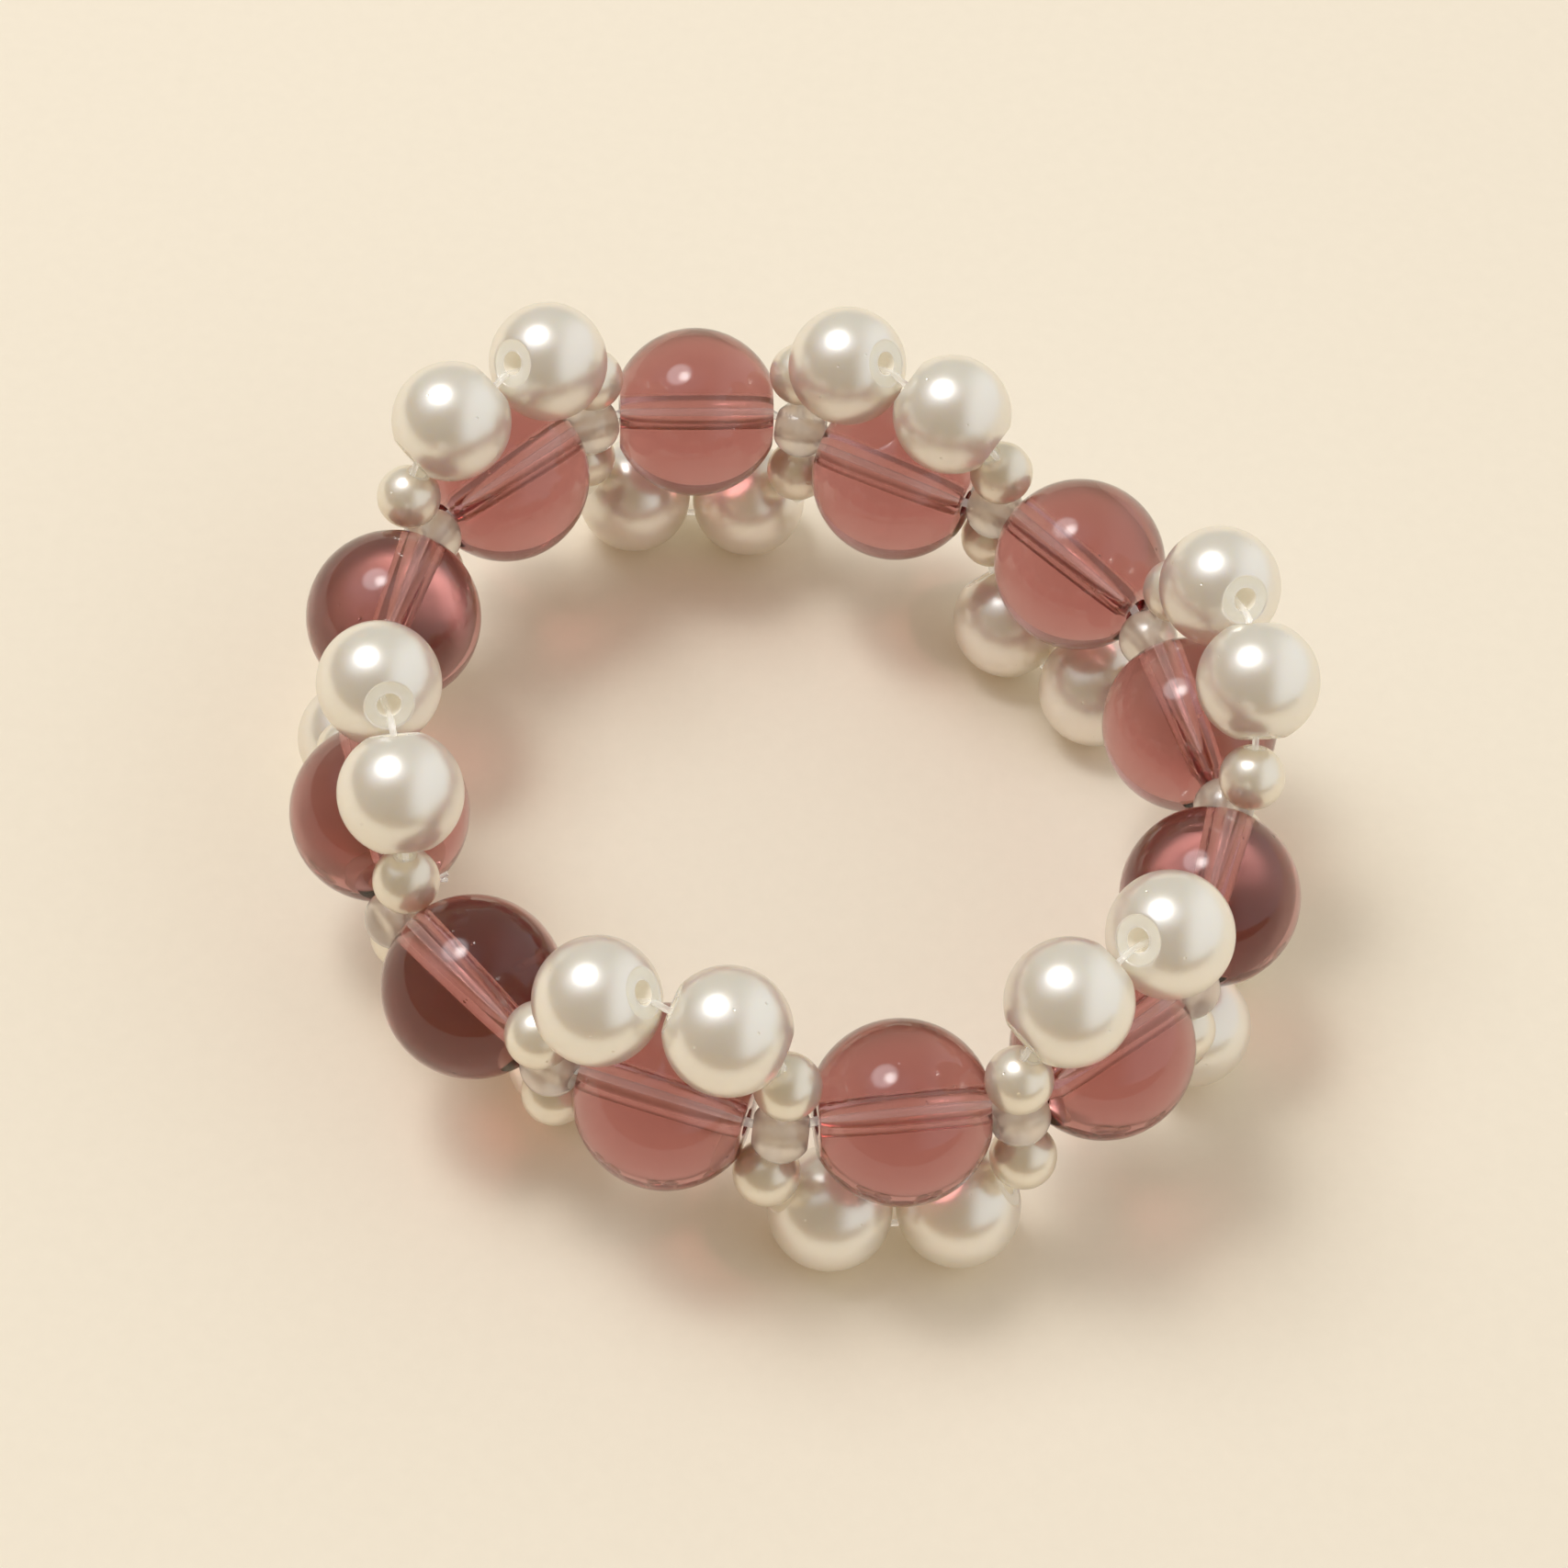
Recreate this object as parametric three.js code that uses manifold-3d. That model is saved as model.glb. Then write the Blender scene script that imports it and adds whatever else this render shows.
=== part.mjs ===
// A beaded stretch bracelet: twelve clear plum beads on a main elastic, and a side strand that weaves over and
// under them with a pair of pearls at each bead and a column of small pearls and a milky spacer at each gap.
// Millimetres, +Z up. The bracelet lies on its lower pearls, with its lowest point at z = 0.

import * as THREE from 'three';
import { mergeVertices } from 'three/addons/utils/BufferGeometryUtils.js';
import Module from 'manifold-3d';

const wasm = await Module();
wasm.setup();

// ---- Driving dimensions -------------------------------------------------------------------------------------

const PLUM = { radius: 6, length: 10.9, bore: 0.9, sides: 16, rings: 8 }; // flats ground at both hole mouths
const PEARL = { radius: 4.1, length: 7.5, bore: 0.75, sides: 12, rings: 5 };
const SMALL = { radius: 2.2, length: 4.1, sides: 10, rings: 4 };
const SPACER = { radius: 2.05, length: 3.6, sides: 8, rings: 4 };

const ELASTIC_RADIUS = 0.35;
const ELASTIC_SIDES = 6;
const ELASTIC_CLEARANCE = 0.35; // round the main elastic where it passes a spacer
const KNOT_RADIUS = 0.6;
const KNOT_UNIT = 10; // the knot is drawn into the hole of this plum bead
const KNOT_INSET = 3.3; // from the middle of that bead
const STRAIGHT_REACH = 5.2; // how far from a bead's middle the main elastic still follows its hole
const STRAND_SPLIT = 0.3; // between the ends of two side strands inside a pearl

const FIRST_DIRECTION = 105; // degrees, of the first plum bead seen from above; the rest follow clockwise
const BEAD_LEVEL = 13.4; // height of a plum bead that hangs between its neighbours
const PEARL_ARM = 9.45; // from a plum bead's middle to the line through its two pearls
const HALF_PAIR = 4.2; // half the distance between the two pearls of a pair
const HOLE_TILT = 35; // degrees; the strand arches over a pair, so each pearl's hole rises to the other
const FLATTER_HOLES = { 2: ["second", 20], 6: ["second", 20], 8: ["first", 18], 12: ["first", 20] }; // in a few pairs
const PEARL_TO_SMALL = 6.45; // centre to centre, along the side strand
const SMALL_TO_SPACER = 4.3;
const MOUTH_STANDOFF = 0.15; // the strand bends this far outside a pearl's hole

// Plum beads, clockwise. Odd ones have their pearls underneath, even ones on top.
// shift: degrees off an even spacing; ring: distance from the middle; lift: height off its level;
// lean: degrees that its pearls lean outwards; swing: degrees that they swing along the ring;
// turn: degrees that the pair turns off the line of the ring.
const UNITS = [
  { shift: 1.9, ring: 30.7, lift: 0, lean: -1, swing: 0, turn: -3 },
  { shift: 2.3, ring: 26.1, lift: -0.3, lean: -2, swing: -2, turn: -6 },
  { shift: -0.7, ring: 26.6, lift: 0, lean: -8, swing: 0, turn: 2 },
  { shift: -2.4, ring: 27.7, lift: -0.7, lean: 14, swing: -2, turn: -2 },
  { shift: -1.7, ring: 29.7, lift: 0, lean: 6, swing: 0, turn: -2 },
  { shift: 0.7, ring: 30.2, lift: 0.3, lean: 0, swing: 0, turn: -1 },
  { shift: 3.3, ring: 28.5, lift: 0, lean: 10, swing: 0, turn: -5 },
  { shift: 2.4, ring: 27.6, lift: -0.8, lean: 0, swing: 3, turn: 3 },
  { shift: 1.1, ring: 27.6, lift: 0, lean: -28, swing: 0, turn: 2 },
  { shift: -0.7, ring: 27.8, lift: -1, lean: -5, swing: -5, turn: 0 },
  { shift: -2.3, ring: 29.3, lift: 0, lean: 9, swing: 0, turn: -3 },
  { shift: -0.4, ring: 31.1, lift: -0.2, lean: 0, swing: -2, turn: -3 },
];

// Gaps, each after the plum bead of the same row.
// out: how far the spacer stands outside the line between the two plum beads; rise: its height off that line;
// top and under: degrees from straight out that the upper and lower small pearls bulge, away from their pearl.
const GAPS = [
  { out: 1.15, rise: 0.4, top: 50, under: 100 },
  { out: 1.1, rise: 0, top: 75, under: 48 },
  { out: 1.2, rise: -0.2, top: 60, under: 40 },
  { out: 1.6, rise: 0.2, top: 70, under: 60 },
  { out: 2.4, rise: 0, top: 85, under: 75 },
  { out: 2.75, rise: 0, top: 75, under: 70 },
  { out: 2.0, rise: 0, top: 100, under: 75 },
  { out: 2.0, rise: -0.2, top: 60, under: 30 },
  { out: 2.2, rise: -1, top: 95, under: 60 },
  { out: 1.6, rise: 0, top: 85, under: 70 },
  { out: 1.45, rise: 0, top: 50, under: 90 },
  { out: 1.7, rise: 0.2, top: 65, under: 65 },
];

// ---- Directions ---------------------------------------------------------------------------------------------

const UP = new THREE.Vector3(0, 0, 1);
const LATHE_AXIS = new THREE.Vector3(0, 1, 0);
const radians = THREE.MathUtils.degToRad;

const at = (start, direction, distance) => start.clone().addScaledVector(direction, distance);
const between = (a, b) => a.clone().lerp(b, 0.5);
const heading = (from, to) => to.clone().sub(from).normalize();
const leftOf = (direction) => new THREE.Vector3(-direction.y, direction.x, 0).normalize();
const after = (list, index) => list[(index + 1) % list.length];
const before = (list, index) => list[(index + list.length - 1) % list.length];

// Turns one unit direction towards another that is square to it.
function tilt(from, towards, degrees) {
  const angle = radians(degrees);
  return from.clone().multiplyScalar(Math.cos(angle)).addScaledVector(towards, Math.sin(angle));
}

// ---- Where the beads lie ------------------------------------------------------------------------------------

function isTop(index) {
  return index % 2 === 1; // the second, fourth and so on
}

function plumCentre(row, index) {
  const direction = radians(FIRST_DIRECTION + row.shift - index * (360 / UNITS.length));
  const restingLevel = PEARL.radius + PEARL_ARM * Math.cos(radians(row.lean));
  const level = isTop(index) ? BEAD_LEVEL : restingLevel;
  return new THREE.Vector3(row.ring * Math.cos(direction), row.ring * Math.sin(direction), level + row.lift);
}

// A unit is a plum bead with its two pearls: first and second as the strand runs clockwise.
function layOutUnit(row, index, centres) {
  const along = heading(before(centres, index), after(centres, index)).setZ(0).normalize();
  const outward = leftOf(along);
  const straightAway = UP.clone().multiplyScalar(isTop(index) ? 1 : -1);
  const leaned = tilt(straightAway, outward, row.lean);
  const sideways = tilt(outward, straightAway, -row.lean);
  const away = tilt(leaned, along, row.swing);
  const pairLine = tilt(tilt(along, leaned, -row.swing), sideways, row.turn);
  const middle = at(centres[index], away, PEARL_ARM);
  const [flatterPearl, flatterTilt] = FLATTER_HOLES[index + 1] ?? [];
  const pearl = (which, sign) => ({
    centre: at(middle, pairLine, -sign * HALF_PAIR),
    // along its hole, to the other pearl
    inward: tilt(pairLine.clone().multiplyScalar(sign), away, which === flatterPearl ? flatterTilt : HOLE_TILT),
  });
  return { centre: centres[index], along, first: pearl("first", 1), second: pearl("second", -1) };
}

const mouth = (pearl, sign) => at(pearl.centre, pearl.inward, sign * (PEARL.length / 2 + MOUTH_STANDOFF));

// The small pearl lies off the straight line from spacer to pearl, because the strand is packed with beads.
function smallCentre(spacer, pearl, outward, along, bulge) {
  const axis = heading(spacer, pearl.centre);
  const span = spacer.distanceTo(pearl.centre);
  const foot = (SMALL_TO_SPACER ** 2 - PEARL_TO_SMALL ** 2 + span ** 2) / (2 * span);
  const offset = Math.sqrt(SMALL_TO_SPACER ** 2 - foot ** 2);
  const out = outward.clone().projectOnPlane(axis).normalize();
  const away = new THREE.Vector3().crossVectors(axis, out);
  away.multiplyScalar(-Math.sign(away.dot(along) * axis.dot(along)));
  return at(at(spacer, axis, foot), tilt(out, away, bulge), offset);
}

function layOutColumn(row, index, units) {
  const previous = units[index];
  const next = after(units, index);
  const along = heading(previous.centre, next.centre);
  const outward = leftOf(along);
  const spacer = at(at(between(previous.centre, next.centre), outward, row.out), UP, row.rise);
  const smallPearl = (pearl, onTop) => {
    const centre = smallCentre(spacer, pearl, outward, along, onTop ? row.top : row.under);
    // A lower one's hole points at the spacer, and an upper one's close to where it touches its large pearl.
    const upper = heading(centre, pearl.centre).multiplyScalar(0.7).addScaledVector(heading(centre, mouth(pearl, -1)), 0.3);
    return { centre, hole: onTop ? upper.normalize() : heading(spacer, centre) };
  };
  return {
    spacer,
    holeLine: previous.along.clone().add(next.along).normalize(),
    previousSmall: smallPearl(previous.second, isTop(index)),
    nextSmall: smallPearl(next.first, !isTop(index)),
    previousPair: [previous.second, previous.first],
    nextPearl: next.first,
  };
}

const centres = UNITS.map(plumCentre);
const units = UNITS.map((row, index) => layOutUnit(row, index, centres));
const columns = GAPS.map((row, index) => layOutColumn(row, index, units));

// ---- Shapes -------------------------------------------------------------------------------------------------

// A ball with a flat at each end of its hole, turned about the Y axis. A bore of 0 leaves it whole.
function ballGeometry({ radius, length, bore = 0, sides, rings }) {
  const flat = Math.sqrt(radius ** 2 - (length / 2) ** 2);
  const reach = Math.acos(flat / radius);
  const arc = Array.from({ length: rings + 1 }, (_, ring) => {
    const latitude = -reach + (2 * reach * ring) / rings;
    return new THREE.Vector2(radius * Math.cos(latitude), radius * Math.sin(latitude));
  });
  const profile = [new THREE.Vector2(bore, -length / 2), ...arc, new THREE.Vector2(bore, length / 2)];
  if (bore > 0) profile.push(profile[0].clone());
  return new THREE.LatheGeometry(profile, sides);
}

// A closed mesh as a solid for joining and cutting, without its seam and the faces that close up at its poles.
function solidOf(geometry) {
  geometry.deleteAttribute('normal');
  geometry.deleteAttribute('uv');
  const merged = mergeVertices(geometry, 1e-4);
  const corners = merged.index.array;
  const faces = [];
  for (let i = 0; i < corners.length; i += 3) {
    const [a, b, c] = corners.slice(i, i + 3);
    if (a !== b && b !== c && c !== a) faces.push(a, b, c);
  }
  const vertProperties = new Float32Array(merged.attributes.position.array);
  return new wasm.Manifold(new wasm.Mesh({ numProp: 3, vertProperties, triVerts: new Uint32Array(faces) }));
}

function geometryOf(solid) {
  const mesh = solid.getMesh();
  const geometry = new THREE.BufferGeometry();
  geometry.setAttribute('position', new THREE.BufferAttribute(mesh.vertProperties, 3));
  geometry.setIndex(new THREE.BufferAttribute(mesh.triVerts, 1));
  geometry.computeVertexNormals();
  return geometry;
}

const pointing = (direction) => new THREE.Quaternion().setFromUnitVectors(LATHE_AXIS, direction);

function placed(geometry, centre, direction) {
  return geometry.applyQuaternion(pointing(direction)).translate(...centre);
}

const ballSolid = (size, centre, direction) => solidOf(placed(ballGeometry(size), centre, direction));

// A route of straight stretches: the elastic is taut, and bends only where it leaves or enters a bead.
class TautRoute extends THREE.Curve {
  constructor(points) {
    super();
    this.points = points;
  }

  getPoint(t) {
    const place = t * (this.points.length - 1);
    const start = Math.min(Math.floor(place), this.points.length - 2);
    return this.points[start].clone().lerp(this.points[start + 1], place - start);
  }

  getPointAt(u) {
    return this.getPoint(u);
  }

  getTangentAt(u) {
    const last = this.points.length - 1;
    const bend = Math.round(u * last);
    const incoming = heading(this.points[Math.max(bend - 1, 0)], this.points[Math.max(bend, 1)]);
    const outgoing = heading(this.points[Math.min(bend, last - 1)], this.points[Math.min(bend + 1, last)]);
    return incoming.add(outgoing).normalize();
  }
}

function elasticSolid(points, radius) {
  const corners = Array.from({ length: ELASTIC_SIDES }, (_, side) => {
    const angle = (2 * Math.PI * side) / ELASTIC_SIDES;
    return new THREE.Vector2(radius * Math.cos(angle), radius * Math.sin(angle));
  });
  const options = { steps: points.length - 1, extrudePath: new TautRoute(points), bevelEnabled: false };
  return solidOf(new THREE.ExtrudeGeometry(new THREE.Shape(corners), options));
}

// ---- The main elastic ---------------------------------------------------------------------------------------

// It starts and ends in the hole of the bead that holds the knot.
function mainPoints() {
  const knotIndex = KNOT_UNIT - 1;
  const { centre, along } = units[knotIndex];
  const loop = units.flatMap((_, step) => {
    const index = (knotIndex + step) % units.length;
    const unit = units[index];
    const next = after(units, index);
    return [
      at(unit.centre, unit.along, STRAIGHT_REACH),
      columns[index].spacer,
      at(next.centre, next.along, -STRAIGHT_REACH),
    ];
  });
  const start = at(centre, along, KNOT_RADIUS / 2 - KNOT_INSET);
  const end = at(centre, along, -KNOT_RADIUS / 2 - KNOT_INSET);
  return [start, ...loop, end];
}

function mainElasticGeometry(points) {
  const { centre, along } = units[KNOT_UNIT - 1];
  const knot = new THREE.SphereGeometry(KNOT_RADIUS, 2 * ELASTIC_SIDES, ELASTIC_SIDES);
  const seat = at(centre, along, -KNOT_INSET);
  return geometryOf(elasticSolid(points, ELASTIC_RADIUS).add(solidOf(placed(knot, seat, along))));
}

// ---- A column: small pearl, spacer, small pearl and their stretch of the side strand ------------------------

// The stretch runs over the pair before the gap and ends in the second pearl of that pair, where the stretch of
// the column before it ends too; on the other side it ends in the first pearl of the next pair.
function columnGeometry(column, mainPassage) {
  const { spacer, holeLine, previousSmall, nextSmall, previousPair, nextPearl } = column;
  const [entered, crossed] = previousPair;
  const strand = [
    at(crossed.centre, crossed.inward, STRAND_SPLIT / 2),
    mouth(crossed, 1),
    mouth(entered, 1),
    mouth(entered, -1),
    previousSmall.centre,
    spacer,
    nextSmall.centre,
    mouth(nextPearl, -1),
    at(nextPearl.centre, nextPearl.inward, -STRAND_SPLIT / 2),
  ];
  return geometryOf(
    ballSolid(SPACER, spacer, holeLine)
      .add(ballSolid(SMALL, previousSmall.centre, previousSmall.hole))
      .add(ballSolid(SMALL, nextSmall.centre, nextSmall.hole))
      .add(elasticSolid(strand, ELASTIC_RADIUS))
      .subtract(mainPassage),
  );
}

// ---- The bracelet -------------------------------------------------------------------------------------------

const finishes = {
  plum: { color: '#9c5c5a', roughness: 0.04, metalness: 0, transparent: true, opacity: 0.7 },
  pearl: { color: '#efe9dc', roughness: 0.28, metalness: 0 },
  column: { color: '#ece6dc', roughness: 0.28, metalness: 0 },
  elastic: { color: '#f2f0ec', roughness: 0.25, metalness: 0, transparent: true, opacity: 0.6 },
};

function part(name, geometry, finish) {
  const mesh = new THREE.Mesh(geometry, new THREE.MeshStandardMaterial(finishes[finish]));
  mesh.name = name;
  return mesh;
}

function bead(name, size, centre, direction, finish) {
  const mesh = part(name, ballGeometry(size), finish);
  mesh.position.copy(centre);
  mesh.quaternion.copy(pointing(direction));
  return mesh;
}

const beads = new THREE.Group();
const route = mainPoints();
const mainPassage = elasticSolid(route, ELASTIC_RADIUS + ELASTIC_CLEARANCE);

units.forEach((unit, index) => {
  const number = String(index + 1).padStart(2, '0');
  const side = isTop(index) ? 'top' : 'under';
  beads.add(
    bead(`plum_bead_${number}`, PLUM, unit.centre, unit.along, 'plum'),
    bead(`${side}_pearl_${number}_a`, PEARL, unit.first.centre, unit.first.inward, 'pearl'),
    bead(`${side}_pearl_${number}_b`, PEARL, unit.second.centre, unit.second.inward, 'pearl'),
    part(`spacer_column_${number}`, columnGeometry(columns[index], mainPassage), 'column'),
  );
});
beads.add(part('main_elastic', mainElasticGeometry(route), 'elastic'));

// The middle of the plan goes to x = y = 0, and the pearls that it lies on to z = 0.
const bracelet = new THREE.Group();
bracelet.add(beads);
const box = new THREE.Box3().setFromObject(bracelet, true);
beads.position.set(-(box.min.x + box.max.x) / 2, -(box.min.y + box.max.y) / 2, -box.min.z);

export default bracelet;
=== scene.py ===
# %% [markdown]
# # A beaded stretch bracelet
#
# Twelve large clear plum beads sit in a ring on a main elastic. A second, side strand weaves over and
# under them: it carries a pair of pearls at every plum bead, on top at one and underneath at the next,
# and between two plum beads it crosses the ring through a column of two small pearls with a milky spacer.
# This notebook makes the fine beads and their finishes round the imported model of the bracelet, which says
# where every bead lies.

# %% The frame and the tools
import math

import bmesh
import bpy
from mathutils import Matrix, Vector


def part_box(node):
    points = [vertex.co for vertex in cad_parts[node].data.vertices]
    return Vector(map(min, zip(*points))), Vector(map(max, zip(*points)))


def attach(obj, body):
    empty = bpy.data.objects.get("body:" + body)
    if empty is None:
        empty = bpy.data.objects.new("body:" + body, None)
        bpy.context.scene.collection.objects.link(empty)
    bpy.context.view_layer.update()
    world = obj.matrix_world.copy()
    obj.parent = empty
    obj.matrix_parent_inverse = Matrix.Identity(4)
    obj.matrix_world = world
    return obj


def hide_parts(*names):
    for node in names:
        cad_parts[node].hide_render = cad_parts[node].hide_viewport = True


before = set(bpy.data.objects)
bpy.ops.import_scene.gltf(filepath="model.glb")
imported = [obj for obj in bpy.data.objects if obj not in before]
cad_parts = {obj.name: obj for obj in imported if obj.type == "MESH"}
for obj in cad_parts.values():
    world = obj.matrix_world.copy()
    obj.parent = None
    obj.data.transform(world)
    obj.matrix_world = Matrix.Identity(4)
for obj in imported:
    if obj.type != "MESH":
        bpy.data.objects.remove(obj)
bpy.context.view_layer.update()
MM = 0.001

# %% [markdown]
# ## Where the beads lie
#
# Each large bead is a node of its own in the frame, and a drilled ball is the same on both sides of its
# middle, so the middle of its box is its centre. The directions follow from the centres: a plum bead's
# hole runs along the ring, and the two pearls of a pair lie on a line of their own. Their holes run
# towards each other and tilt away from the plum bead, because the strand arches over the pair on that
# side. In a few pairs one of the holes lies flatter.

# %% Centres and hole directions of the large beads
BEADS = 12
UP = Vector((0, 0, 1))
HOLE_TILT = 35
FLATTER_HOLES = {(2, "second"): 20, (6, "second"): 20, (8, "first"): 18, (12, "first"): 20}


def heading(start, end):
    return (end - start).normalized()


def tilt(start, towards, angle):
    """Turns one unit direction towards another that is square to it."""
    return start * math.cos(angle) + towards * math.sin(angle)


def left_of(direction):
    return Vector((-direction.y, direction.x, 0)).normalized()


def centre_of(node):
    low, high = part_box(node)
    return (low + high) / 2


def side_of(number):
    return "top" if number % 2 == 0 else "under"


def lay_out_unit(number, centres):
    """A plum bead with its two pearls, first and second as the strand runs clockwise."""
    index = number - 1
    centre = centres[index]
    first, second = (centre_of(f"{side_of(number)}_pearl_{number:02d}_{letter}") for letter in "ab")
    line = heading(first, second)
    away = heading(centre, (first + second) / 2)
    along = (centres[(index + 1) % BEADS] - centres[index - 1]).xy.to_3d().normalized()
    unit = {"centre": centre, "along": along}
    for which, pearl, inward in (("first", first, line), ("second", second, -line)):
        degrees = FLATTER_HOLES.get((number, which), HOLE_TILT)
        unit[which] = (pearl, tilt(inward, away, math.radians(degrees)))
    return unit


plum_centres = [centre_of(f"plum_bead_{number:02d}") for number in range(1, BEADS + 1)]
units = [lay_out_unit(number, plum_centres) for number in range(1, BEADS + 1)]
ring_length = sum((a - b).length for a, b in zip(plum_centres, plum_centres[1:] + plum_centres[:1]))
print(f"units: {len(units)}, {ring_length / MM:.0f} mm round their centres")

# %% [markdown]
# A column stands a little outside the line between two plum beads, and its small pearls bulge sideways
# because the strand is packed with beads. Each row gives, for the gap after that plum bead, how far out
# the spacer stands and how high, in millimetres, and the angle from straight out at which the upper and
# the lower small pearl bulge. The small pearl then lies where a ball about the spacer meets a ball about
# the large pearl. The hole of a lower small pearl points at the spacer, and that of an upper one close to
# where it touches its large pearl.

# %% Spacers and small pearls
PEARL_LENGTH = 7.5 * MM
PEARL_TO_SMALL = 6.45 * MM
SMALL_TO_SPACER = 4.3 * MM
TURNED_TO_MOUTH = 0.3  # share of an upper small pearl's direction that follows its large pearl's hole
GAPS = [
    {"out": 1.15, "rise": 0.4, "top": 50, "under": 100},
    {"out": 1.1, "rise": 0, "top": 75, "under": 48},
    {"out": 1.2, "rise": -0.2, "top": 60, "under": 40},
    {"out": 1.6, "rise": 0.2, "top": 70, "under": 60},
    {"out": 2.4, "rise": 0, "top": 85, "under": 75},
    {"out": 2.75, "rise": 0, "top": 75, "under": 70},
    {"out": 2.0, "rise": 0, "top": 100, "under": 75},
    {"out": 2.0, "rise": -0.2, "top": 60, "under": 30},
    {"out": 2.2, "rise": -1, "top": 95, "under": 60},
    {"out": 1.6, "rise": 0, "top": 85, "under": 70},
    {"out": 1.45, "rise": 0, "top": 50, "under": 90},
    {"out": 1.7, "rise": 0.2, "top": 65, "under": 65},
]


def small_centre(spacer, pearl, outward, along, bulge):
    axis = heading(spacer, pearl)
    span = (pearl - spacer).length
    foot = (SMALL_TO_SPACER**2 - PEARL_TO_SMALL**2 + span**2) / (2 * span)
    offset = math.sqrt(SMALL_TO_SPACER**2 - foot**2)
    out = (outward - axis * outward.dot(axis)).normalized()
    away = axis.cross(out)
    away *= -math.copysign(1, away.dot(along) * axis.dot(along))
    return spacer + axis * foot + tilt(out, away, math.radians(bulge)) * offset


def lay_out_column(number):
    """The column in the gap after a plum bead: its spacer, with a small pearl above and one below."""
    row, previous, following = GAPS[number - 1], units[number - 1], units[number % BEADS]
    along = heading(previous["centre"], following["centre"])
    outward = left_of(along)
    middle = (previous["centre"] + following["centre"]) / 2
    spacer = middle + (outward * row["out"] + UP * row["rise"]) * MM
    smalls = []
    for side, (pearl, pearl_hole) in (
        (side_of(number), previous["second"]),
        (side_of(number + 1), following["first"]),
    ):
        centre = small_centre(spacer, pearl, outward, along, row[side])
        mouth = pearl - pearl_hole * PEARL_LENGTH / 2
        upper = heading(centre, pearl).lerp(heading(centre, mouth), TURNED_TO_MOUTH).normalized()
        hole = upper if side == "top" else heading(spacer, centre)
        smalls.append({"side": side, "centre": centre, "hole": hole})
    return {
        "spacer": spacer,
        "hole": (previous["along"] + following["along"]).normalized(),
        "smalls": smalls,
    }


columns = [lay_out_column(number) for number in range(1, BEADS + 1)]
heights = [column["spacer"].z / MM for column in columns]
print(f"columns: {len(columns)}, spacers {min(heights):.1f} to {max(heights):.1f} mm up")

# %% [markdown]
# ## Camera
#
# The bracelet is looked at from in front and well above, with the camera rolled a few degrees, from close
# enough that the near beads look larger than the far ones.

# %% Camera
SENSOR_WIDTH = 36  # millimetres, as the lens is
LENS = 91.107
NEAR_LIMIT = 10 * MM
CAMERA_TARGET = Vector((-0.27, -3.46, 13.4)) * MM
CAMERA_DISTANCE = 266.2 * MM
CAMERA_ELEVATION = math.radians(54.67)
CAMERA_ROLL = math.radians(5.02)


def add_camera():
    data = bpy.data.cameras.new("camera")
    data.sensor_width = SENSOR_WIDTH
    data.lens = LENS
    data.clip_start = NEAR_LIMIT
    camera = bpy.data.objects.new("camera", data)
    tip = Matrix.Rotation(math.pi / 2 - CAMERA_ELEVATION, 4, "X")
    roll = Matrix.Rotation(CAMERA_ROLL, 4, "Z")
    back_off = Matrix.Translation((0, 0, CAMERA_DISTANCE))
    camera.matrix_world = Matrix.Translation(CAMERA_TARGET) @ tip @ roll @ back_off
    bpy.context.scene.collection.objects.link(camera)
    bpy.context.scene.camera = camera
    return data.lens


print(f"camera: {add_camera():.1f} mm lens")

# %% [markdown]
# ## Materials
#
# Every colour is an sRGB hex value, turned to the linear values that the shader counts in. One function
# adds a node, sets it and links it. Patterns read Object coordinates, which are metres here, so a pattern
# of a given size in millimetres has a scale of one over that size.

# %% Helpers for materials
def linear(hex_colour):
    """An sRGB hex colour as linear RGBA."""
    channels = [int(hex_colour[i : i + 2], 16) / 255 for i in (1, 3, 5)]
    return [c / 12.92 if c <= 0.04045 else ((c + 0.055) / 1.055) ** 2.4 for c in channels] + [1.0]


def add_node(tree, kind, inputs=None, **settings):
    """Adds a node with its settings, and fills its inputs with values or links from other nodes."""
    node = tree.nodes.new(kind)
    for name, value in settings.items():
        setattr(node, name, value)
    for name, value in (inputs or {}).items():
        if isinstance(value, bpy.types.NodeSocket):
            tree.links.new(value, node.inputs[name])
        else:
            node.inputs[name].default_value = value
    return node


def new_material(name):
    material = bpy.data.materials.new(name)
    material.use_nodes = True
    material.node_tree.nodes.clear()
    return material, material.node_tree


def per_mm(size):
    """The scale of a pattern whose features are this many millimetres apart."""
    return 1 / (size * MM)


PIT_FLOOR = 0.03  # both are shares of the distance between two pits
PIT_EDGE = 0.08


def with_pits(tree, place, spacing, depth, normal):
    """Adds small pits to a surface, this far apart and this deep, in millimetres."""
    spots = add_node(tree, "ShaderNodeTexVoronoi", {"Vector": place, "Scale": per_mm(spacing)})
    pits = add_node(
        tree,
        "ShaderNodeMapRange",
        {"Value": spots.outputs["Distance"], "From Min": PIT_FLOOR, "From Max": PIT_EDGE},
    )
    bump = add_node(
        tree,
        "ShaderNodeBump",
        {"Height": pits.outputs["Result"], "Distance": depth * MM, "Normal": normal},
    )
    return bump.outputs["Normal"]


print("cream, linear:", [round(channel, 3) for channel in linear("#FDF3E0")])

# %% [markdown]
# ### Clear plum acrylic
#
# The large beads are cast acrylic, tinted through and polished. Its colour comes from the depth of tinted
# plastic that light crosses, so the material is clear glass with an IOR of 1.49 and a volume that absorbs
# green and blue. The rim, where light crosses little of it, stays pale, and the hole shows as lighter and
# darker lines. A few small pits, about 2 mm apart, and faint polishing waves keep the surface from being
# perfect.

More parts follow.
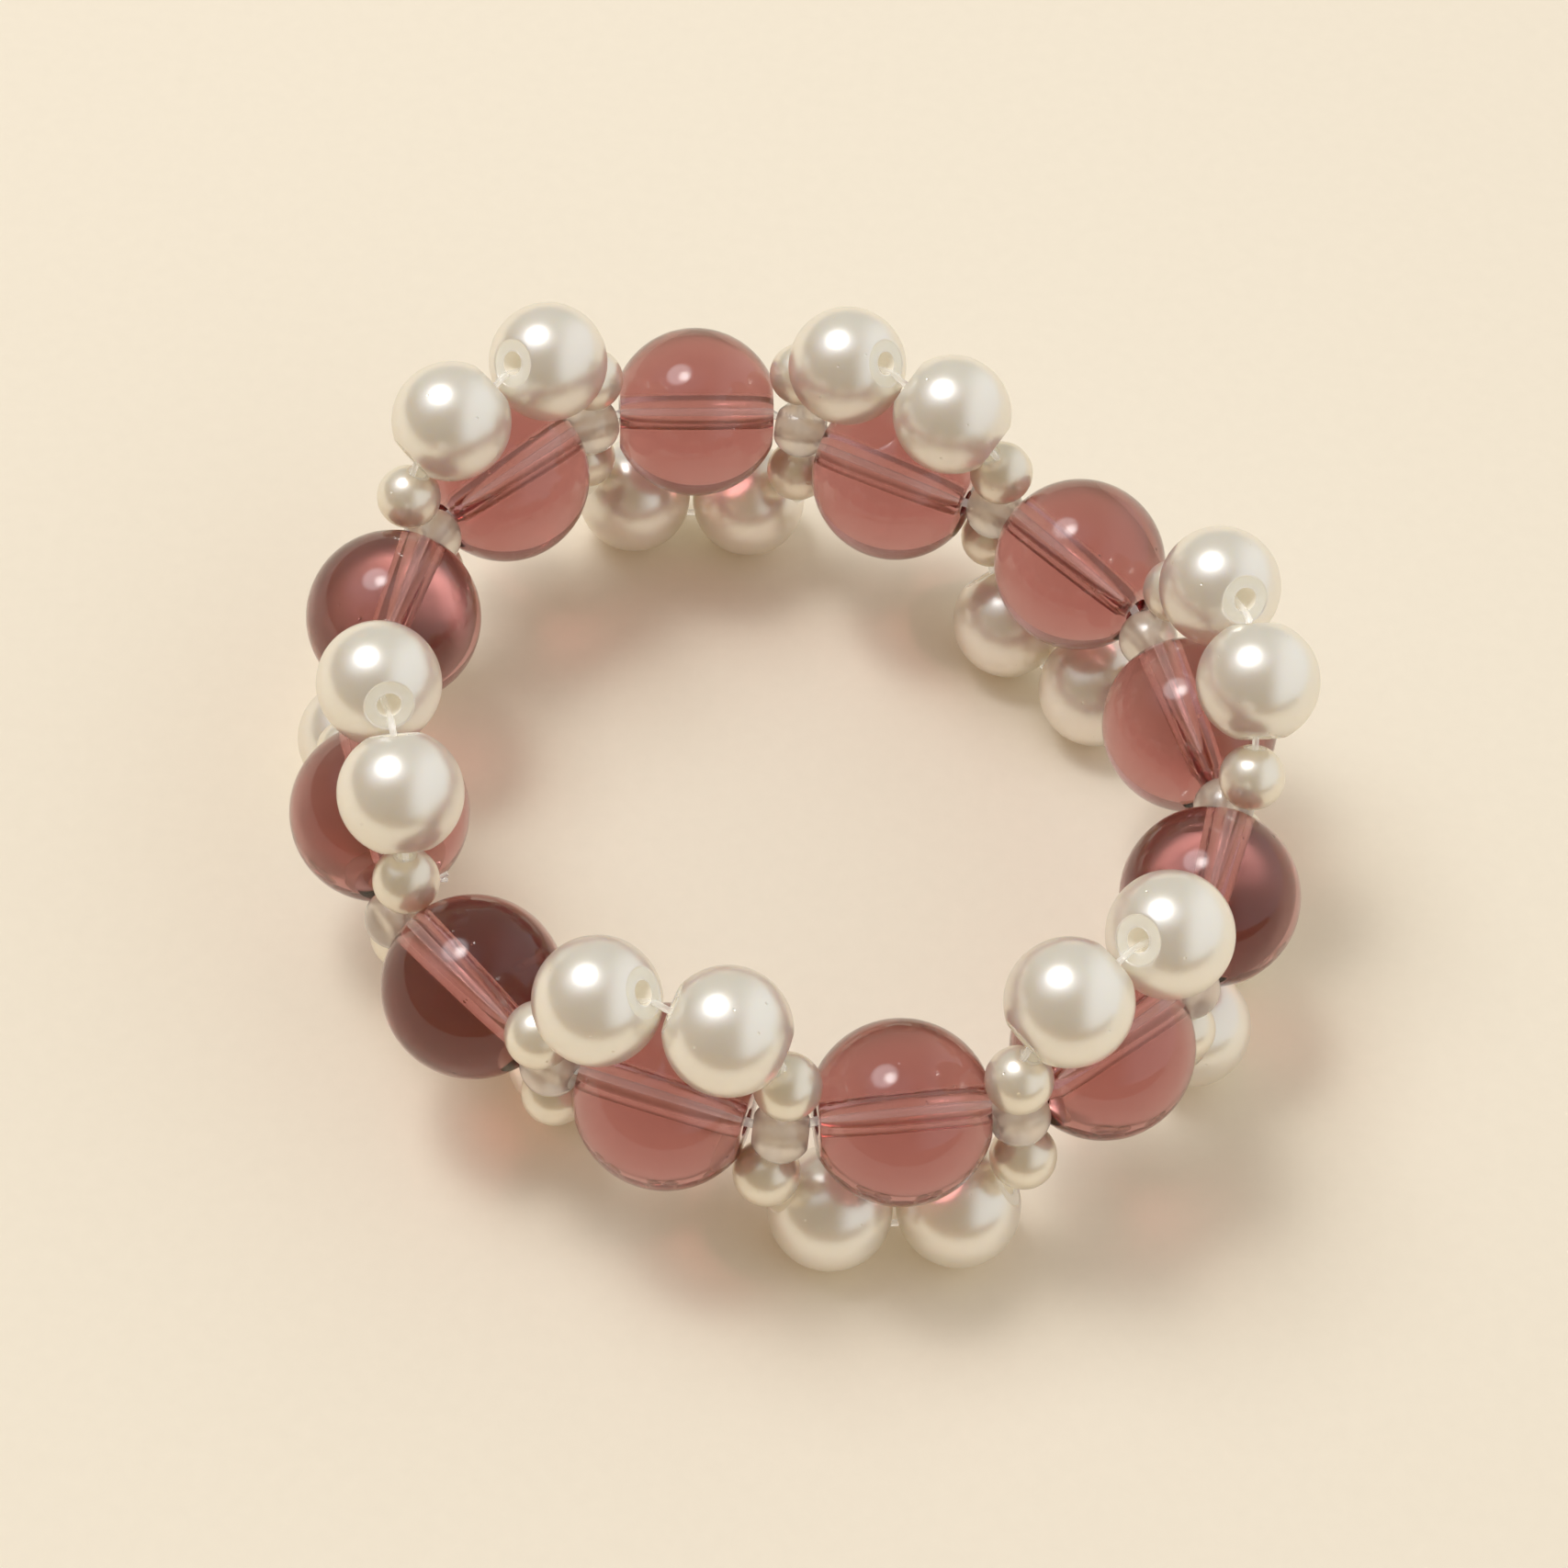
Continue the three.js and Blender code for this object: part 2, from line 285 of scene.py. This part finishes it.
# %% Clear plum acrylic
ACRYLIC_IOR = 1.49
BEAD_DEPTH = 12 * MM
PLUM_LEFT = (0.42, 0.15, 0.14)  # share of red, green and blue light that crosses the depth of a bead


def clear_plum_acrylic():
    material, tree = new_material("clear_plum_acrylic")
    place = add_node(tree, "ShaderNodeTexCoord").outputs["Object"]
    waves = add_node(tree, "ShaderNodeTexNoise", {"Vector": place, "Scale": per_mm(2.5), "Detail": 2})
    waved = add_node(
        tree, "ShaderNodeBump", {"Height": waves.outputs["Fac"], "Strength": 0.06, "Distance": 0.02 * MM}
    )
    clear = add_node(
        tree,
        "ShaderNodeBsdfPrincipled",
        {
            "Base Color": (1, 1, 1, 1),
            "Roughness": 0.015,
            "IOR": ACRYLIC_IOR,
            "Transmission Weight": 0.99,
            "Normal": with_pits(tree, place, 2, 0.02, waved.outputs["Normal"]),
        },
    )
    absorbed = [-math.log(share) / BEAD_DEPTH for share in PLUM_LEFT]
    density = max(absorbed)
    tint = [1 - a / density for a in absorbed] + [1]
    volume = add_node(tree, "ShaderNodeVolumeAbsorption", {"Color": tint, "Density": density})
    add_node(
        tree,
        "ShaderNodeOutputMaterial",
        {"Surface": clear.outputs["BSDF"], "Volume": volume.outputs["Volume"]},
    )
    print(f"acrylic: absorbs {density:.0f} per metre")
    return material


plum_acrylic = clear_plum_acrylic()

# %% [markdown]
# ### Pearl coat
#
# The pearls are moulded ABS balls dipped in a nacre lacquer. Fine flakes in the lacquer reflect like a
# soft metal under a clear skin: a broad bright highlight, a soft image of the pale surface below, and a
# darker band between. The material is a little more than half metallic, and the rest is white plastic
# that light sinks into. Its edge tint is slightly grey, so that the rim isn't brighter than the surface
# that it mirrors. A thin clear coat lies on top. The colour drifts slowly, over 5 mm, flakes 0.16 mm wide
# give a fine grain, and a few pits 1.4 mm apart glint near the highlights. The lacquer of the small
# pearls is a little more cream.

# %% Pearl coat
def nacre_coat(name, light, dark):
    material, tree = new_material(name)
    place = add_node(tree, "ShaderNodeTexCoord").outputs["Object"]
    drift = add_node(tree, "ShaderNodeTexNoise", {"Vector": place, "Scale": per_mm(5), "Detail": 1})
    body = add_node(
        tree,
        "ShaderNodeMix",
        {"Factor": drift.outputs["Fac"], "A": linear(light), "B": linear(dark)},
        data_type="RGBA",
    )
    flakes = add_node(tree, "ShaderNodeTexVoronoi", {"Vector": place, "Scale": per_mm(0.16)})
    grain = add_node(
        tree,
        "ShaderNodeBump",
        {"Height": flakes.outputs["Distance"], "Strength": 0.06, "Distance": 0.02 * MM},
    )
    shader = add_node(
        tree,
        "ShaderNodeBsdfPrincipled",
        {
            "Base Color": body.outputs["Result"],
            "Metallic": 0.58,
            "Roughness": 0.28,
            "Subsurface Weight": 1.0,
            "Subsurface Radius": (1, 0.85, 0.65),
            "Subsurface Scale": 3 * MM,
            "Specular Tint": linear("#F1ECE2"),
            "Coat Weight": 0.3,
            "Coat Roughness": 0.2,
            "Normal": with_pits(tree, place, 1.4, 0.03, grain.outputs["Normal"]),
        },
    )
    add_node(tree, "ShaderNodeOutputMaterial", {"Surface": shader.outputs["BSDF"]})
    return material


pearl_coat = nacre_coat("nacre_coat", "#F6F3EB", "#F4EEE6")
small_pearl_coat = nacre_coat("cream_nacre_coat", "#F5EEE1", "#F3EADC")
print("materials:", pearl_coat.name, small_pearl_coat.name)

# %% [markdown]
# ### Plastic, resin and elastic
#
# The smaller finishes share one recipe. A noise with grains of a real size, in millimetres, drifts the
# colour between two close values and also lifts the surface a little, so no face is quite flat or quite
# even.
#
# - The bare ABS inside a pearl's coat is smooth from the mould and lets light sink in.
# - The wall of a pearl's hole is the same plastic, rougher from drilling. Light that sinks through the
#   thin ball makes it glow, and a faint warm emission stands in for that.
# - The spacers are cast resin with a milky filler. Light comes through but is blurred, so the roughness
#   is high for a glass, and the cord inside shows as a soft line. The skin is polished, which a clear
#   coat gives. A faint emission is a painted glow, standing in for light scattered inside the resin.
# - The elastic is drawn polyurethane, nearly clear, and it carries light along inside it. A faint
#   emission stands in for that.

# %% Grained finishes
def grained_material(name, light, dark, grain, relief, **inputs):
    """A finish whose colour and height drift over grains, sized and raised by these millimetres."""
    material, tree = new_material(name)
    place = add_node(tree, "ShaderNodeTexCoord").outputs["Object"]
    noise = add_node(tree, "ShaderNodeTexNoise", {"Vector": place, "Scale": per_mm(grain), "Detail": 3})
    height = noise.outputs["Fac"]
    colour = add_node(
        tree,
        "ShaderNodeMix",
        {"Factor": height, "A": linear(light), "B": linear(dark)},
        data_type="RGBA",
    )
    bump = add_node(tree, "ShaderNodeBump", {"Height": height, "Strength": 1.0, "Distance": relief * MM})
    named = {key.replace("_", " "): value for key, value in inputs.items()}
    named |= {"Base Color": colour.outputs["Result"], "Normal": bump.outputs["Normal"]}
    shader = add_node(tree, "ShaderNodeBsdfPrincipled", named)
    add_node(tree, "ShaderNodeOutputMaterial", {"Surface": shader.outputs["BSDF"]})
    return material


# %% Plastic, resin and elastic
bare_plastic = grained_material(
    "bare_moulded_plastic",
    "#FAF6EC",
    "#F4EFE3",
    grain=0.8,
    relief=0.004,
    Roughness=0.2,
    Subsurface_Weight=1.0,
    Subsurface_Radius=(1, 0.95, 0.85),
    Subsurface_Scale=1.5 * MM,
)
hole_wall = grained_material(
    "drilled_plastic_hole_wall",
    "#FBF5E8",
    "#F3EBDA",
    grain=0.4,
    relief=0.01,
    Roughness=0.5,
    Emission_Color=linear("#FBF6E4"),
    Emission_Strength=0.09,
)
milky_resin = grained_material(
    "milky_cast_resin",
    "#EDE4D9",
    "#E5DACE",
    grain=1.2,
    relief=0.003,
    Roughness=0.28,
    Coat_Weight=1.0,
    Coat_Roughness=0.04,
    Transmission_Weight=0.82,
    Subsurface_Weight=1.0,
    Subsurface_Radius=(1, 0.95, 0.9),
    Subsurface_Scale=1.5 * MM,
    # painted glow: a faint emission stands in for light scattered inside the milky resin
    Emission_Color=linear("#FFF1E2"),
    Emission_Strength=0.02,
)
clear_elastic = grained_material(
    "drawn_clear_elastic",
    "#FFFFFF",
    "#F8F6F2",
    grain=0.6,
    relief=0.004,
    Roughness=0.12,
    Transmission_Weight=0.72,
    Emission_Color=linear("#FFFAF2"),
    Emission_Strength=0.08,
)
print("materials:", bare_plastic.name, hole_wall.name, milky_resin.name, clear_elastic.name)

# %% [markdown]
# ## Beads
#
# A drilled bead is a body of revolution. Its half outline is cut from a disc: two cuts for the flats at
# the ends of the hole, and one for the wall of the hole. The outline's edge is then spun round the hole's
# axis, and the sharp rings where the flats meet the ball and the hole are rounded with a bevel. On a
# narrow flat the two bevels meet in the middle, so vertices that fall together are welded afterwards.

# %% Turning a bead
WELD_DISTANCE = 0.002 * MM
SHARP_ANGLE = math.radians(25)
RIM_SEGMENTS = 3
LEVEL = 0.999  # a face whose normal stands this straight is a flat


def turned_bead(radius, length, bore, around, steps, rim, lip=0.0):
    """A drilled ball round Z. A lip above 0 sinks the flats, so that a coat's edge stands round them."""
    mesh = bmesh.new()
    upright = Matrix.Rotation(math.pi / 2, 4, "X")
    bmesh.ops.create_circle(mesh, cap_ends=True, radius=radius, segments=steps, matrix=upright)
    top, bottom, wall = (0, 0, length / 2), (0, 0, -length / 2), (bore, 0, 0)
    for place, outer in ((top, (0, 0, 1)), (bottom, (0, 0, -1)), (wall, (-1, 0, 0))):
        everything = mesh.verts[:] + mesh.edges[:] + mesh.faces[:]
        bmesh.ops.bisect_plane(mesh, geom=everything, plane_co=place, plane_no=outer, clear_outer=True)
    bmesh.ops.delete(mesh, geom=mesh.faces[:], context="FACES_ONLY")
    bmesh.ops.spin(
        mesh,
        geom=mesh.verts[:] + mesh.edges[:],
        cent=(0, 0, 0),
        axis=(0, 0, 1),
        angle=2 * math.pi,
        steps=around,
        use_merge=True,
    )
    bmesh.ops.remove_doubles(mesh, verts=mesh.verts[:], dist=WELD_DISTANCE)
    bmesh.ops.recalc_face_normals(mesh, faces=mesh.faces[:])
    if lip:
        flats = [face for face in mesh.faces if abs(face.normal.z) > LEVEL]
        bmesh.ops.inset_region(mesh, faces=flats, thickness=lip, depth=-lip, use_even_offset=True)
    sharp = [edge for edge in mesh.edges if edge.is_manifold and edge.calc_face_angle() > SHARP_ANGLE]
    bmesh.ops.bevel(
        mesh,
        geom=sharp,
        offset=rim,
        segments=RIM_SEGMENTS,
        profile=0.5,
        affect="EDGES",
        material=-1,
        clamp_overlap=True,
    )
    bmesh.ops.remove_doubles(mesh, verts=mesh.verts[:], dist=WELD_DISTANCE)
    return mesh


print(f"rims: {RIM_SEGMENTS} steps, welded within {WELD_DISTANCE / MM:.3f} mm")

# %% Placing and declaring a piece
def add_piece(name, data):
    piece = bpy.data.objects.new(name, data)
    bpy.context.scene.collection.objects.link(piece)
    return piece


def finish_piece(name, mesh, place, direction, materials, finish=None):
    """Puts a turned bead in its place. The function finish says the material of each face."""
    if finish:
        for face in mesh.faces:
            face.material_index = finish(face)
    turn = UP.rotation_difference(direction).to_matrix().to_4x4()
    bmesh.ops.transform(mesh, matrix=Matrix.Translation(place) @ turn, verts=mesh.verts[:])
    data = bpy.data.meshes.new(name)
    mesh.to_mesh(data)
    mesh.free()
    for material in materials:
        data.materials.append(material)
    data.shade_smooth()
    return add_piece(name, data)


def declare(piece, node):
    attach(piece, "root")
    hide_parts(node)


# %% [markdown]
# The plum beads have their flats polished like the rest, and a hole wide enough to take the knot.

# %% Plum beads
PLUM = {
    "radius": 6 * MM,
    "length": 10.9 * MM,
    "bore": 0.9 * MM,
    "around": 128,
    "steps": 128,
    "rim": 0.12 * MM,
}

for number, unit in enumerate(units, 1):
    name = f"plum_bead_{number:02d}"
    turned = turned_bead(**PLUM)
    bead = finish_piece(f"clear_{name}", turned, unit["centre"], unit["along"], [plum_acrylic])
    declare(bead, name)
print("plum beads:", len(units), "of", len(bead.data.polygons), "faces")

# %% [markdown]
# On the pearls the coat ends at the hole in a thin raised lip, and inside it the bare moulded plastic
# shows as a pale ring round the hole.

# %% Large pearls
PEARL = {
    "radius": 4.1 * MM,
    "length": PEARL_LENGTH,
    "bore": 0.8 * MM,
    "around": 96,
    "steps": 96,
    "rim": 0.05 * MM,
    "lip": 0.08 * MM,
}


JUST_OUTSIDE = 1.01  # a face no farther from the axis than the bore by this much is on the hole's wall


def coat_flat_or_hole(size):
    """Says the material of a pearl's face: 0 coat, 1 bare plastic of a sunk flat, 2 wall of the hole."""
    flat = math.sqrt(size["radius"] ** 2 - (size["length"] / 2) ** 2) - size["lip"]
    hole = size["bore"] * JUST_OUTSIDE

    def pick(face):
        distance = face.calc_center_median().xy.length
        return int(distance < flat) + int(distance < hole)

    return pick


pearl_materials = [pearl_coat, bare_plastic, hole_wall]
finish = coat_flat_or_hole(PEARL)

for number, unit in enumerate(units, 1):
    for letter, (centre, hole) in zip("ab", (unit["first"], unit["second"])):
        node = f"{side_of(number)}_pearl_{number:02d}_{letter}"
        turned = turned_bead(**PEARL)
        pearl = finish_piece(f"coated_{node}", turned, centre, hole, pearl_materials, finish)
        declare(pearl, node)
print("large pearls:", 2 * len(units), "of", len(pearl.data.polygons), "faces")

# %% [markdown]
# The small pearls are the same bead at about half the size, and the spacers are flatter, wide-holed beads
# of milky resin.

# %% Small pearls and spacers
SMALL = {
    "radius": 2.2 * MM,
    "length": 4.1 * MM,
    "bore": 0.5 * MM,
    "around": 64,
    "steps": 64,
    "rim": 0.04 * MM,
    "lip": 0.04 * MM,
}
SPACER = {
    "radius": 2.05 * MM,
    "length": 3.6 * MM,
    "bore": 0.7 * MM,
    "around": 64,
    "steps": 64,
    "rim": 0.15 * MM,
}
small_materials = [small_pearl_coat, bare_plastic, hole_wall]
finish = coat_flat_or_hole(SMALL)

for number, column in enumerate(columns, 1):
    node = f"spacer_column_{number:02d}"
    for bead in column["smalls"]:
        name = f"small_pearl_{number:02d}_{bead['side']}"
        turned = turned_bead(**SMALL)
        small = finish_piece(name, turned, bead["centre"], bead["hole"], small_materials, finish)
        declare(small, node)
    name = f"milky_spacer_{number:02d}"
    turned = turned_bead(**SPACER)
    spacer = finish_piece(name, turned, column["spacer"], column["hole"], [milky_resin])
    declare(spacer, node)
print("small pearls:", 2 * len(columns), "spacers:", len(columns))

# %% [markdown]
# ## Elastic
#
# Both strands are clear stretch cord on a simple route. The main one runs straight through each plum bead
# and through the middle of each spacer. The side strand runs through the middles of the small pearls and
# the spacer, and it enters and leaves a large pearl against the side of the hole that faces the next
# bead. Neither is led round anything, so both cut a little into beads, most of all at a spacer, where the
# side strand crosses the resin and the main elastic. A cord is a poly curve with a round bevel, which is
# then made a mesh. The side strand and the knot's ends have their corners cut first, to round the bends.

# %% Cord helper
BEVEL_STEPS = 4
CUT_AT = (0.25, 0.75)


def rounded(points, cuts=2):
    """Cuts the corners of a route, keeping its ends."""
    for _ in range(cuts):
        inner = [start.lerp(end, t) for start, end in zip(points, points[1:]) for t in CUT_AT]
        points = [points[0], *inner, points[-1]]
    return points


def cord(name, points, radius, material, closed=False):
    curve = bpy.data.curves.new(name, "CURVE")
    curve.dimensions = "3D"
    curve.bevel_depth = radius
    curve.bevel_resolution = BEVEL_STEPS
    curve.use_fill_caps = True
    spline = curve.splines.new("POLY")
    spline.points.add(len(points) - 1)
    for point, place in zip(spline.points, points):
        point.co = (*place, 1)
    spline.use_cyclic_u = closed
    shaped = add_piece(name, curve)
    evaluated = shaped.evaluated_get(bpy.context.evaluated_depsgraph_get())
    data = bpy.data.meshes.new_from_object(evaluated)
    bpy.data.objects.remove(shaped)
    data.name = name
    data.materials.clear()
    data.materials.append(material)
    data.shade_smooth()
    ends = points[1:] + points[:1] if closed else points[1:]
    length = sum((end - start).length for start, end in zip(points, ends))
    print(f"{name}: {length / MM:.1f} mm of cord")
    return add_piece(name, data)


print("corners are cut at", CUT_AT, "of each stretch")

# %% Main elastic
MAIN_RADIUS = 0.3 * MM
STRAIGHT_REACH = 5.2 * MM

route = []
for unit, column in zip(units, columns):
    reach = unit["along"] * STRAIGHT_REACH
    route += [unit["centre"] - reach, unit["centre"] + reach, column["spacer"]]
main = cord("main_elastic_cord", route, MAIN_RADIUS, clear_elastic, closed=True)
declare(main, "main_elastic")
print("main elastic:", len(main.data.polygons), "faces")

# %% [markdown]
# The ends of the main elastic are tied, and the knot is pulled into the wide hole of a plum bead. An
# overhand knot is a trefoil: its path goes twice round the hole's axis while it swings in and out three
# times. The two ends are cut short and curl out of the hole's mouth, behind a small pearl.

# %% Knot and its ends
KNOT_BEAD = 10
KNOT_DEPTH = 3.3 * MM
KNOT_LOOP = 0.36 * MM
KNOT_PULL = 1.4  # how much longer than wide the knot is drawn
THIN_CORD = 0.17 * MM
# Each point is in millimetres from the bead's middle: back along its hole, inward and up.
TAILS = [
    [
        (4.6, 0.3, 0.3),
        (5.5, 0.5, 0.4),
        (6.1, 1.1, 0.1),
        (6.2, 2.0, -0.1),
        (6.1, 2.9, 0.2),
        (6.0, 3.5, 0.45),
    ],
    [
        (4.6, -0.3, -0.2),
        (5.6, 0.2, -0.4),
        (6.3, 1.2, -0.5),
        (6.0, 2.3, -0.1),
        (6.1, 3.1, 0.0),
        (6.0, 3.4, -0.3),
    ],
]


def from_bead(unit, along, inward, up):
    """A place off a plum bead's centre: back along its hole, towards the ring's middle, and up."""
    return unit["centre"] - unit["along"] * along - left_of(unit["along"]) * inward + UP * up


def trefoil(unit, depth, loop, count=48):
    """An overhand knot round a bead's hole."""
    places = []
    for step in range(count):
        turn = 2 * math.pi * step / count
        reach = loop * (2 + math.cos(3 * turn)) / 3
        along = depth + loop * math.sin(3 * turn) * KNOT_PULL
        places.append(from_bead(unit, along, reach * math.cos(2 * turn), reach * math.sin(2 * turn)))
    return places


tied = units[KNOT_BEAD - 1]
knot = cord("knot", trefoil(tied, KNOT_DEPTH, KNOT_LOOP), THIN_CORD, clear_elastic, closed=True)
declare(knot, "main_elastic")
for number, places in enumerate(TAILS, 1):
    path = [from_bead(tied, along * MM, inward * MM, up * MM) for along, inward, up in places]
    tail = cord(f"knot_end_{number}", rounded(path, 3), THIN_CORD, clear_elastic)
    declare(tail, "main_elastic")
print("knot:", len(knot.data.polygons), "faces, with", len(TAILS), "ends")

# %% Side strand
SIDE_RADIUS = 0.23 * MM


def mouth(pearl, sign, target):
    """Where the cord leaves a pearl: at the mouth of its hole, against the side that faces the target."""
    centre, hole = pearl
    middle = centre + hole * (sign * PEARL["length"] / 2)
    towards = target - middle
    hug = (towards - hole * towards.dot(hole)).normalized()
    return middle + hug * (PEARL["bore"] - SIDE_RADIUS)


for number, column in enumerate(columns, 1):
    previous, following = units[number - 1], units[number % BEADS]
    entered, crossed = previous["second"], previous["first"]
    below, above = (bead["centre"] for bead in column["smalls"])
    points = [
        crossed[0],
        mouth(crossed, 1, entered[0]),
        mouth(entered, 1, crossed[0]),
        mouth(entered, -1, below),
        below,
        column["spacer"],
        above,
        mouth(following["first"], -1, above),
        following["first"][0],
    ]
    strand = cord(f"side_strand_{number:02d}", rounded(points), SIDE_RADIUS, clear_elastic)
    declare(strand, f"spacer_column_{number:02d}")
print("side strand:", len(columns), "stretches")

# %% [markdown]
# ## Floor and light
#
# The bracelet lies on a plain, matt cream surface. A low brown card stands in front, outside the view. It
# darkens only what the clear beads and the pearls see there, as a dark thing beyond a table's edge does,
# and it casts no shadow. Both are stage pieces, a square stretched to size.

# %% Floor and card
FLOOR_SIZE = (3, 3)
CARD_SIZE = (0.8, 0.035)
CARD_PLACE = (0, -0.13, CARD_SIZE[1] / 2)
UPRIGHT = math.pi / 2


def add_plate(name, size, place, turn, material):
    """A flat stage piece, a square stretched to size and set in its place."""
    mesh = bmesh.new()
    bmesh.ops.create_grid(mesh, x_segments=1, y_segments=1, size=0.5)
    bmesh.ops.scale(mesh, vec=(size[0], size[1], 1), verts=mesh.verts[:])
    bmesh.ops.rotate(mesh, matrix=Matrix.Rotation(turn, 3, "X"), verts=mesh.verts[:])
    bmesh.ops.translate(mesh, vec=place, verts=mesh.verts[:])
    data = bpy.data.meshes.new(name)
    mesh.to_mesh(data)
    mesh.free()
    data.materials.append(material)
    plate = add_piece(name, data)
    return plate


cream = grained_material(
    "matt_cream_floor", "#FDF3E0", "#F9EFDC", grain=1.2, relief=0.02, Roughness=0.9
)
tan = grained_material("brown_card", "#B59D80", "#B1997C", grain=1.2, relief=0.03, Roughness=0.9)
add_plate("floor", FLOOR_SIZE, (0, 0, 0), 0, cream)
card = add_plate("front_card", CARD_SIZE, CARD_PLACE, UPRIGHT, tan)
card.visible_camera = card.visible_diffuse = card.visible_shadow = False
print("stage:", cream.name, tan.name)

# %% [markdown]
# A soft round light stands above the bracelet, a little to the left and behind. A wider, weaker glow
# round it softens the shadows and gives the clear beads a pale patch beside the bright spot. A plain area
# light has a hard edge, which a polished ball would show, so here the light fades towards its rim.

# %% Soft lights
LAMP_DISTANCE = 1.4


def add_soft_light(name, direction, distance, spread, brightness, colour, even=0.6):
    """A round light, spread degrees wide, that is even to a share of its radius and then fades."""
    width = 2 * distance * math.tan(math.radians(spread / 2))
    data = bpy.data.lights.new(name, "AREA")
    data.shape = "DISK"
    data.size = width
    data.energy = brightness * (math.pi * width / 2) ** 2
    data.use_nodes = True
    tree = data.node_tree
    tree.nodes.clear()
    place = add_node(tree, "ShaderNodeNewGeometry").outputs["Parametric"]
    away = add_node(tree, "ShaderNodeVectorMath", operation="DISTANCE")
    tree.links.new(place, away.inputs[0])
    away.inputs[1].default_value = (0.5, 0.5, 0)
    fade = add_node(
        tree,
        "ShaderNodeMapRange",
        {
            "Value": away.outputs["Value"],
            "From Min": even / 2,
            "From Max": 0.5,
            "To Min": 1.0,
            "To Max": 0.0,
        },
        interpolation_type="SMOOTHSTEP",
    )
    glow = add_node(
        tree, "ShaderNodeEmission", {"Color": linear(colour), "Strength": fade.outputs["Result"]}
    )
    add_node(tree, "ShaderNodeOutputLight", {"Surface": glow.outputs["Emission"]})
    lamp = add_piece(name, data)
    towards = Vector(direction).normalized()
    lamp.location = towards * distance
    lamp.rotation_euler = towards.to_track_quat("Z", "Y").to_euler()


add_soft_light("lamp", (-0.28, 0.17, 0.945), LAMP_DISTANCE, 20, 13, "#FFFDF8", even=0.1)
add_soft_light("lamp_glow", (-0.385, 0.225, 0.89), LAMP_DISTANCE, 36, 4.4, "#F8FAFF")

# %% [markdown]
# The room is dim and warm, with a pale ceiling, a grey back wall, a brown front wall and a bright wall on
# the right, which the pearls show as their second, broad reflection. It is a world whose colour changes
# with the direction that it is seen in, which costs less than real walls and casts no hard shadow.

# %% Room
def add_room(dim, walls):
    """A dim room. A wall's colour fades in round its direction, from start to full, both cosines."""
    world = bpy.data.worlds.new("room")
    world.use_nodes = True
    tree = world.node_tree
    place = add_node(tree, "ShaderNodeTexCoord").outputs["Generated"]
    colour = linear(dim)
    for wall in walls:
        facing = add_node(tree, "ShaderNodeVectorMath", operation="DOT_PRODUCT")
        tree.links.new(place, facing.inputs[0])
        facing.inputs[1].default_value = Vector(wall["direction"]).normalized()
        share = add_node(
            tree,
            "ShaderNodeMapRange",
            {"Value": facing.outputs["Value"], "From Min": wall["start"], "From Max": wall["full"]},
            interpolation_type="SMOOTHSTEP",
        )
        mixed = add_node(
            tree,
            "ShaderNodeMix",
            {"Factor": share.outputs["Result"], "A": colour, "B": linear(wall["colour"])},
            data_type="RGBA",
        )
        colour = mixed.outputs["Result"]
    tree.links.new(colour, tree.nodes["Background"].inputs["Color"])
    bpy.context.scene.world = world


CEILING = {"direction": (-0.37, 0.22, 0.90), "start": 0.7, "full": 0.97, "colour": "#E7E9EE"}
BACK_WALL = {"direction": (0, 0.93, 0.36), "start": 0.35, "full": 0.85, "colour": "#B9B3A4"}
FRONT_WALL = {"direction": (0, -0.93, 0.36), "start": 0.4, "full": 0.9, "colour": "#98866D"}
RIGHT_WALL = {"direction": (0.97, 0.0, 0.05), "start": 0.2, "full": 0.7, "colour": "#ECECEA"}
add_room("#A5937B", (CEILING, BACK_WALL, FRONT_WALL, RIGHT_WALL))
print("room:", bpy.context.scene.world.name)

# %% [markdown]
# Light passes many clear walls in a row here, in and out of a bead, its hole and the cord in it, so it
# gets more bounces than usual. The glints that it throws are blurred, which keeps single bright specks
# away. The view transform is the plain one, so that colours come out as they were set.

# %% Light paths
LIGHT_BOUNCES = 16
GLINT_BLUR = 0.2

paths = bpy.context.scene.cycles
paths.blur_glossy = GLINT_BLUR
paths.max_bounces = paths.transmission_bounces = paths.glossy_bounces = LIGHT_BOUNCES
bpy.context.scene.view_settings.view_transform = "Standard"
print("bounces:", paths.max_bounces)
